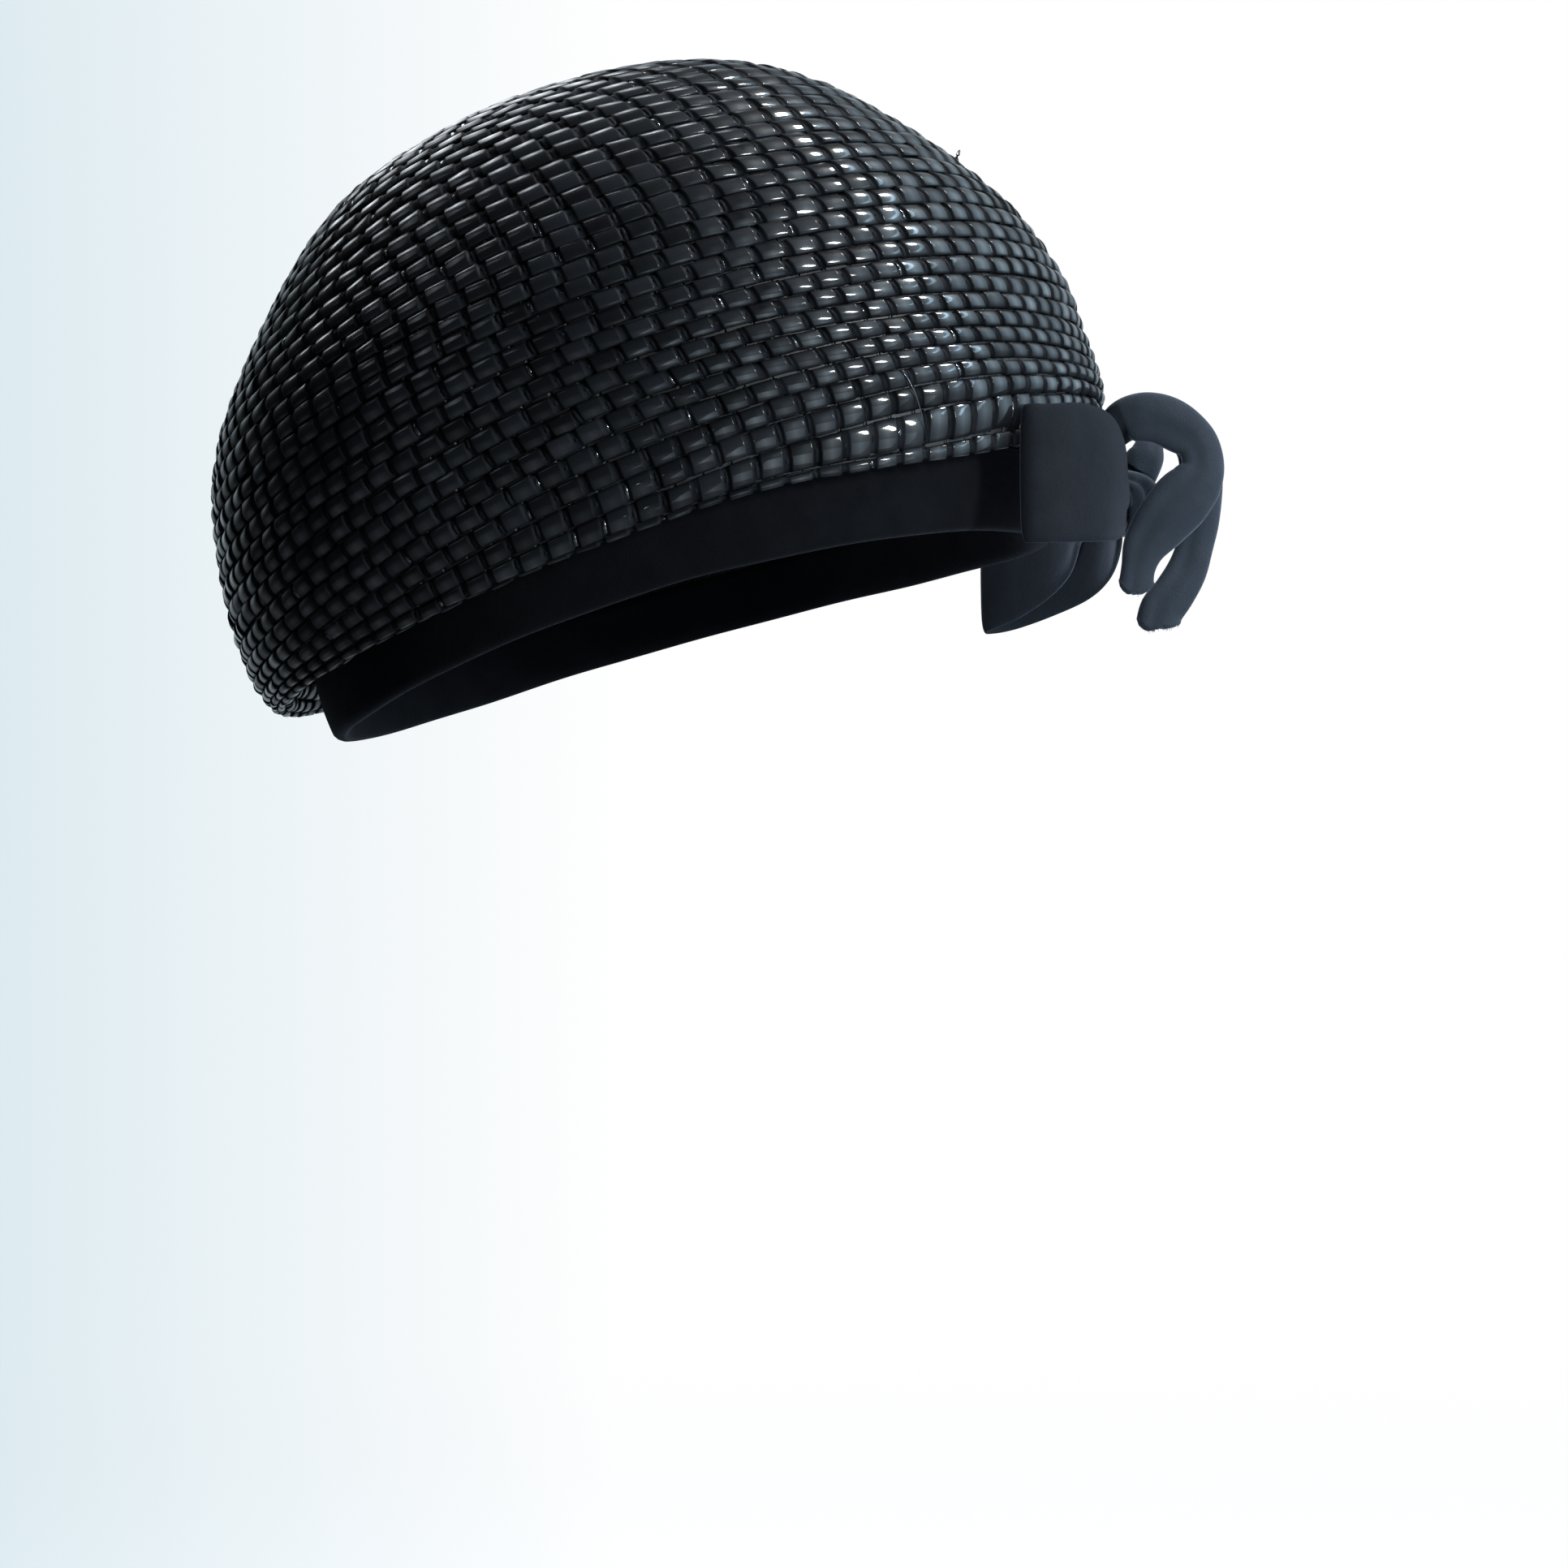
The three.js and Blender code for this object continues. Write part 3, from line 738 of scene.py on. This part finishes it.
def band_section():
    """Outline of the band across its strip, as out and up in millimetres, round its two leaves."""
    rise = np.linspace(1, 0, BAND_OUTER_STEPS)
    outer_up = BAND_THICKNESS / 2 + (BAND_HEIGHT - BAND_THICKNESS / 2) * rise
    outer = [(BAND_BULGE * math.sin(math.pi * part), up) for part, up in zip(rise, outer_up)]
    fold = []
    radius = BAND_THICKNESS / 2
    for step in range(1, BAND_FOLD_STEPS):
        turn = -math.pi * step / BAND_FOLD_STEPS
        fold.append((radius * (math.cos(turn) - 1), radius * (math.sin(turn) + 1)))
    inner_up = np.linspace(BAND_THICKNESS / 2, BAND_INNER_HEIGHT, BAND_INNER_STEPS)
    inner = [(-BAND_THICKNESS, up) for up in inner_up]
    leaf = -BAND_THICKNESS + BAND_INNER_LEAF
    back = [(leaf, BAND_INNER_HEIGHT), (leaf, BAND_FLOOR), (-BAND_OUTER_LEAF, BAND_FLOOR)]
    top = [(-BAND_OUTER_LEAF, BAND_HEIGHT), (-BAND_OUTER_LEAF / 2, BAND_HEIGHT + BAND_TOP_ROUNDING)]
    return np.array(outer + fold + inner + back + top)


def build_band(material):
    """The band: a strip round the rim, folded under the straw's edge, with a slightly uneven face."""
    angles = np.arange(BAND_ROUND) / BAND_ROUND * FULL_TURN
    step = 0.001
    foot_rows, top_rows = (np.tile(row, (BAND_ROUND, 1)) for row in BAND_ROWS)
    foot = oval_points(foot_rows, angles)
    top = oval_points(top_rows, angles)
    ahead = oval_points(foot_rows, angles + step)
    up = unit(top - foot)
    out = unit(np.cross(up, ahead - foot))
    section = band_section()
    swell = slow_waves(angles, BAND_SWELL_WAVES, BAND_SWELL)
    sway = slow_waves(angles, BAND_SWAY_WAVES, BAND_SWAY)
    rings = []
    for across, height in section:
        share = min(1, max(0, height / BAND_HEIGHT))
        outward = across + swell * math.sin(math.pi * share)
        upward = height + sway
        rings.append(foot + out * (outward * MM)[:, None] + up * (upward * MM)[:, None])
    points, quads = skin(np.stack(rings, axis=1), looped=True)
    piece = add_piece("velvet_band", points, quads, material)
    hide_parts("band")


# Velvet bow

def build_knot(material):
    """The knot: velvet wrapped in layers round the roots of the loops, each layer narrower than the last."""
    turn = np.arange(KNOT_SIDES) / KNOT_SIDES * FULL_TURN
    size = (np.abs(np.cos(turn)) ** KNOT_SQUARENESS + np.abs(np.sin(turn)) ** KNOT_SQUARENESS)
    size = size ** (-1 / KNOT_SQUARENESS)
    middle_y = -(KNOT_FRONT + KNOT_BACK) / 2
    middle_z = (KNOT_BOTTOM + KNOT_TOP) / 2
    half_depth = (KNOT_FRONT - KNOT_BACK) / 2
    half_height = (KNOT_TOP - KNOT_BOTTOM) / 2
    profile = [(-across, reach) for across, reach in KNOT_PROFILE]
    profile += [(across, reach) for across, reach in KNOT_PROFILE[::-1] if across > 0]
    rings = []
    for across, reach in profile:
        fullness = KNOT_PINCH + (1 - KNOT_PINCH) * (1 - across ** 2)
        phase = KNOT_RIDGES * math.pi * across + KNOT_RIDGE_BEND * np.sin(turn)
        ridges = KNOT_RIDGE * np.cos(phase) * reach ** KNOT_RIDGE_FADE
        radius = fullness * (reach + ridges) * size
        rings.append(np.stack((
            np.full(KNOT_SIDES, KNOT_HALF_WIDTH * across),
            middle_y + half_depth * radius * np.cos(turn),
            middle_z + half_height * radius * np.sin(turn),
        ), axis=-1) * MM)
    points, quads = skin(np.array(rings))
    # Painted light: the knot's velvet gets the full lighter tone, as the tails do
    piece = add_piece("velvet_knot", points, quads, material, shade=np.ones(len(points)))
    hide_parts("bow_knot")


def build_loop(name, node, hand, material, droop=0, fullness=1, bulge=0):
    """A loop of ribbon: gathered at the knot, puffed on its outer leaf, folded and led back."""
    stations = np.linspace(0, len(LOOP_ROWS) - 1, LOOP_STEPS)
    reach, forward, middle, breadth, puff = smooth_rows(LOOP_ROWS, stations).T
    root = LOOP_ROWS[0, 0]
    drop = droop * (reach - root) / LOOP_ROWS[:, 0].max()
    ahead_of = bulge * np.sin(math.pi * np.minimum(1, stations / OUTER_LEAF_ROWS))
    places = np.stack((hand * reach, -forward - ahead_of, middle - drop), axis=-1)
    ahead = unit(np.gradient(places, axis=0))
    face = unit(np.cross(ahead, UP)) * hand
    across = np.sin(np.linspace(-0.5, 0.5, LOOP_BREADTHS) * math.pi)
    gather = np.exp(-(reach - root) / GATHER_LENGTH)[:, None]
    folds = GATHER_DEPTH * gather * np.cos(GATHER_FOLDS * math.pi * across[None, :] + GATHER_START)
    ripple = RIPPLE_HEIGHT * (across[None, :] ** 2) * np.sin(np.linspace(0, RIPPLE_TURN, LOOP_STEPS))[:, None]
    swell = puff[:, None] * (1 - across[None, :] ** 2) + folds + ripple
    rounding = (1 - np.abs(across) ** RIBBON_SQUARENESS) ** 0.5
    half = RIBBON_THICKNESS / 2 * np.maximum(rounding, RIBBON_EDGE)
    upward = (across[None, :] * fullness * breadth[:, None] / 2)[..., None] * UP
    level = places[:, None, :] + upward
    outside = level + face[:, None, :] * (swell + half)[..., None]
    inside = level + face[:, None, :] * (swell - half)[..., None]
    rings = np.concatenate((outside, inside[:, ::-1]), axis=1) * MM
    points, quads = skin(rings)
    # Painted light: it lightens the loop's inner leaf and the ribbon's reverse, which lie in shade
    painted_light = np.ones(rings.shape[:2])
    painted_light[:, :LOOP_BREADTHS] = np.interp(stations, LOOP_PAINTED_LIGHT_STATIONS, LOOP_PAINTED_LIGHT)[:, None]
    piece = add_piece(name, points, quads, material, shade=painted_light.ravel())
    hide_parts(node)


def tail_frames(rows, hand):
    """Places along a tail, its own line, its broad and thin directions, and its size."""
    stations = np.linspace(0, len(rows) - 1, TAIL_STEPS)
    reach, forward, height, twist, size = smooth_rows(rows, stations).T
    places = np.stack((hand * reach, -forward, height), axis=-1)
    line = unit(np.gradient(places, axis=0))
    broad = unit(ASIDE - line * line[:, :1])
    angle = np.radians(twist)[:, None]
    broad = broad * np.cos(angle) + np.cross(line, broad) * np.sin(angle)
    return places, line, broad, np.cross(line, broad), size


def fibre_bodies(roots, directions, lengths):
    """Fine loose threads, each a thin tapering body along its direction."""
    turn = np.arange(FIBRE_SIDES) / FIBRE_SIDES * FULL_TURN
    runs = []
    for root, direction, length in zip(roots, directions, lengths):
        side = unit(np.cross(direction, FIBRE_ASKEW))
        other = np.cross(direction, side)
        droop = -UP * length * FIBRE_DROOP
        rings = []
        for share, thickness in FIBRE_TAPER:
            middle = root + direction * length * share + droop * share ** 2
            spoke = np.cos(turn)[:, None] * side + np.sin(turn)[:, None] * other
            rings.append(middle + spoke * FIBRE_RADIUS * thickness)
        runs.append(rings)
    return many_bodies(np.array(runs) * MM)


def build_tail(name, node, rows, hand, cut, fibres, material):
    """A tail: a soft roll of ribbon with creases along it, and an end cut to the given outline."""
    places, line, broad, thin, size = tail_frames(rows, hand)
    turn = np.arange(TAIL_SIDES) / TAIL_SIDES * FULL_TURN
    crease = sum(depth * np.exp(-((turn - place) / breadth) ** 2) for depth, place, breadth in TAIL_CREASES)
    wide = TAIL_WIDTH / 2 * np.cos(turn)
    bulge = np.sign(np.sin(turn)) * np.abs(np.sin(turn)) ** TAIL_SQUARENESS
    deep = TAIL_DEPTH / 2 * bulge * (1 - crease)
    waves = 1 + TAIL_WAVE * np.sin(np.linspace(0, TAIL_WAVE_TURN, TAIL_STEPS))
    rings = []
    for step in range(TAIL_STEPS):
        ring = broad[step] * wide[:, None] + thin[step] * deep[:, None]
        rings.append(places[step] + ring * size[step] * waves[step])
    side_share = hand * np.cos(turn)
    outline = np.interp(side_share, *cut) + random.normal(0, CUT_ROUGHNESS, TAIL_SIDES)
    reached = np.linspace(0, 1, END_STEPS) ** 2
    for step, share in enumerate(reached, start=TAIL_STEPS - END_STEPS):
        rings[step] = rings[step] + line[-1] * (outline * share)[:, None]
    last = rings[-1]
    centre = last.mean(axis=0)
    for shrink, onward in END_ROUNDING:
        rings.append(centre + (last - centre) * shrink + line[-1] * onward)
    points, quads = skin(np.array(rings) * MM)
    roots = last[random.integers(0, TAIL_SIDES, fibres)]
    roots = centre + (roots - centre) * random.uniform(*FIBRE_ROOTS, fibres)[:, None]
    directions = unit(line[-1] + random.normal(0, FIBRE_SPREAD, (fibres, 3)))
    threads = fibre_bodies(roots, directions, random.uniform(*FIBRE_LENGTHS, fibres))
    points, quads = joined([(points, facing_out(points, quads)), (threads[0], facing_out(*threads))])
    # Painted light: the tail's velvet gets the full lighter tone, standing in for the glare on the bow
    piece = add_piece(name, points, quads, material, shade=np.ones(len(points)))
    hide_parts(node)


def build_bow(material):
    """The bow: its knot, its two loops and its two tails."""
    build_knot(material)
    build_loop("velvet_loop_right", "bow_loop_right", RIGHT, material)
    build_loop("velvet_loop_left", "bow_loop_left", LEFT, material,
               LEFT_LOOP_DROOP, LEFT_LOOP_FULLNESS, LEFT_LOOP_BULGE)
    build_tail("velvet_tail_right", "bow_tail_right", RIGHT_TAIL_ROWS, RIGHT,
               RIGHT_TAIL_CUT, RIGHT_TAIL_FIBRES, material)
    build_tail("velvet_tail_left", "bow_tail_left", LEFT_TAIL_ROWS, LEFT,
               LEFT_TAIL_CUT, LEFT_TAIL_FIBRES, material)


# Stage, light and camera

def build_world():
    """Pale studio backdrop, whiter ahead of the hat, in a dim room with light walls in front and beyond."""
    world = bpy.data.worlds.new("studio")
    world.use_nodes = True
    bpy.context.scene.world = world
    tree = world.node_tree
    tree.nodes.clear()
    direction = add_node(tree, "ShaderNodeTexCoord").outputs["Generated"]
    parts = add_node(tree, "ShaderNodeSeparateXYZ", {"Vector": direction}).outputs
    ahead = ramp(tree, parts["Y"], 0.20, 0.02)
    front = ramp(tree, parts["Y"], -0.25, -0.95, ease="SMOOTHSTEP")
    beyond = ramp(tree, parts["X"], 0.35, 0.95, ease="SMOOTHSTEP")
    upper = ramp(tree, parts["Z"], -0.5, 0.2, low=0.2, ease="SMOOTHSTEP")
    upper_front = add_node(tree, "ShaderNodeMath", {0: front, 1: upper}, operation="MULTIPLY")
    walls = mix_tones(tree, upper_front.outputs["Value"], ROOM_DARK, ROOM_FRONT)
    room = mix_tones(tree, beyond, walls, ROOM_BEYOND)
    backdrop = mix_tones(tree, ahead, BACKDROP_PALE, BACKDROP_WHITE)
    seen = add_node(tree, "ShaderNodeBackground", {"Color": backdrop, "Strength": 1.0})
    light = add_node(tree, "ShaderNodeBackground", {"Color": room, "Strength": 1.0})
    path = add_node(tree, "ShaderNodeLightPath")
    mixed = add_node(tree, "ShaderNodeMixShader", {
        0: path.outputs["Is Camera Ray"], 1: light.outputs[0], 2: seen.outputs[0],
    })
    add_node(tree, "ShaderNodeOutputWorld", {"Surface": mixed.outputs[0]})


def around(azimuth, elevation, distance=LIGHT_DISTANCE):
    """A place round the hat, by degrees and metres. Azimuth 0 is its right side and 90 is its front."""
    turn = math.radians(azimuth)
    rise = math.radians(elevation)
    level = distance * math.cos(rise)
    return (-level * math.cos(turn), -level * math.sin(turn), HAT_MIDDLE[2] + distance * math.sin(rise))


def add_light(kind, name, place, aim, power, colour):
    """A light of the given kind that faces the aim."""
    data = bpy.data.lights.new(name, kind)
    data.energy = power
    data.color = colour
    light = bpy.data.objects.new(name, data)
    light.location = place
    light.rotation_euler = (Vector(aim) - Vector(place)).to_track_quat("-Z", "Y").to_euler()
    bpy.context.scene.collection.objects.link(light)
    return light


def add_panel(name, place, wide, tall, power, colour):
    """A soft rectangular light that faces the hat."""
    light = add_light("AREA", name, place, HAT_MIDDLE, power, colour)
    light.data.shape = "RECTANGLE"
    light.data.size = wide
    light.data.size_y = tall
    return light


def add_strip(name, low, high, wide, power, colour):
    """A narrow light between two places that faces the hat."""
    run = Vector(high) - Vector(low)
    middle = (Vector(high) + Vector(low)) / 2
    strip = add_panel(name, middle, wide, run.length, power, colour)
    away = (middle - Vector(HAT_MIDDLE)).normalized()
    along = (run - away * run.dot(away)).normalized()
    turned = Matrix((along.cross(away), along, away)).transposed()
    strip.rotation_euler = turned.to_euler()


def build_lights():
    """Two key strips and a cool one for the glints, soft panels for the rest, and a spot on the bow."""
    add_strip("key_low", around(51, 4), around(41, 14), wide=0.15, power=23, colour=WARM_WHITE)
    add_strip("key_high", around(78, 51), around(94, 62), wide=0.15, power=40, colour=WARM_WHITE)
    add_strip("cool", around(66, 8), around(100, 60), wide=0.12, power=6, colour=(0.50, 0.78, 1.0))
    add_panel("front_panel", around(38, -28, 0.8), wide=0.6, tall=0.4, power=1.0, colour=(0.70, 0.88, 1.0))
    add_panel("back", around(-70, 35), wide=0.8, tall=0.8, power=1.5, colour=(0.80, 0.90, 1.0))
    add_panel("beyond", (0.75, 0.55, 1.15), wide=1.0, tall=1.0, power=11, colour=(0.90, 0.95, 1.0))
    bow_fill = add_light("SPOT", "bow_fill", around(-4, -16, 1.0), BOW_MIDDLE,
                         power=22, colour=(0.86, 0.93, 1.0))
    bow_fill.data.shadow_soft_size = 0.03
    bow_fill.data.spot_size = math.radians(12)
    bow_fill.data.spot_blend = 1.0


def build_stage():
    """A pale round floor below the hat that fades into the backdrop."""
    rim = np.arange(FLOOR_SIDES) / FLOOR_SIDES * FULL_TURN
    points = [(FLOOR_RADIUS * math.cos(turn), FLOOR_RADIUS * math.sin(turn), FLOOR_HEIGHT) for turn in rim]
    mesh = bpy.data.meshes.new("floor")
    mesh.from_pydata(points, [], [tuple(range(len(points)))])
    floor = bpy.data.objects.new("floor", mesh)
    bpy.context.scene.collection.objects.link(floor)
    material, tree = new_material("floor_pale")
    place = add_node(tree, "ShaderNodeTexCoord").outputs["Object"]
    flat = add_node(tree, "ShaderNodeVectorMath", {0: place, 1: (1, 1, 0)}, operation="MULTIPLY")
    far = add_node(tree, "ShaderNodeVectorMath", {0: flat.outputs["Vector"]}, operation="LENGTH")
    fade = ramp(tree, far.outputs["Value"], *FLOOR_FADE, *FLOOR_CLEARNESS, ease="SMOOTHSTEP")
    grain = add_node(tree, "ShaderNodeTexNoise", {"Vector": place, "Scale": 40.0, "Detail": 3.0})
    tone = mix_tones(tree, grain.outputs["Fac"], *FLOOR_TONES)
    matt = add_node(tree, "ShaderNodeBsdfPrincipled", {"Base Color": tone, "Roughness": 0.7})
    clear = add_node(tree, "ShaderNodeBsdfTransparent")
    mixed = add_node(tree, "ShaderNodeMixShader", {0: fade, 1: matt.outputs[0], 2: clear.outputs[0]})
    close_material(tree, mixed)
    mesh.materials.append(material)


def build_camera():
    """The camera, with a lens of the given focal length in pixels."""
    data = bpy.data.cameras.new("camera")
    data.sensor_width = SENSOR_MM
    data.lens = FOCAL_PIXELS / IMAGE_PIXELS * SENSOR_MM
    camera = bpy.data.objects.new("camera", data)
    camera.location = EYE
    camera.rotation_euler = Vector(LOOK).to_track_quat("-Z", "Y").to_euler()
    bpy.context.scene.collection.objects.link(camera)
    bpy.context.scene.camera = camera


build_camera()
build_world()
build_stage()
build_lights()

straw = straw_material()
velvet = velvet_material()
ground = build_ground(ground_material())
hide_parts("crown")
build_straw(straw)
build_loose_straws(straw)
build_band(velvet)
build_bow(velvet)

bpy.context.scene.view_settings.view_transform = "Standard"
